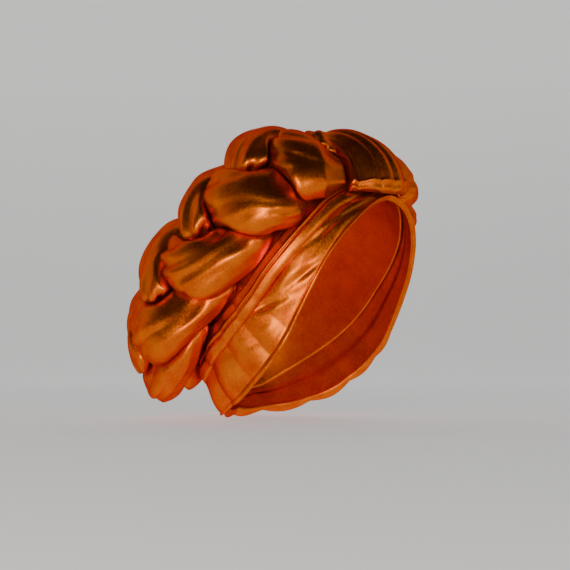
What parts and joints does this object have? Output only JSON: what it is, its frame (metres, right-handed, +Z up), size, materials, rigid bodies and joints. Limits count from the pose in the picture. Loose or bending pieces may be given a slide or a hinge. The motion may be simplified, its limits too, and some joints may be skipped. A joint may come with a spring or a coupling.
{
  "type": "braided turban",
  "caption": "Ready-tied turban: a hollow cap with a wide folded brow band, a pleated front knot and padded braids running round the head from the knot to the nape.",
  "frame": {"origin": "the point inside the cap that rests on the top of the head", "axes": "+Z up, the face looks along -Y, the wearer's left is +X"},
  "size_m": [0.2178, 0.224, 0.2306],
  "materials": {
    "cap_cloth": "metallic copper foil-coated stretch cloth",
    "band_cloth": "metallic copper foil-coated stretch cloth",
    "knot_cloth": "metallic copper foil-coated stretch cloth, pleated",
    "braid_cloth": "metallic copper foil-coated stretch cloth over wadding"
  },
  "bodies": {
    "root": {"crown_cap": "cap_cloth", "brow_band": "band_cloth", "front_knot": "knot_cloth", "strand_right_1": "braid_cloth", "strand_right_2": "braid_cloth", "strand_right_3": "braid_cloth", "strand_left_1": "braid_cloth", "strand_left_2": "braid_cloth", "strand_left_3": "braid_cloth"}
  },
  "joints": []
}
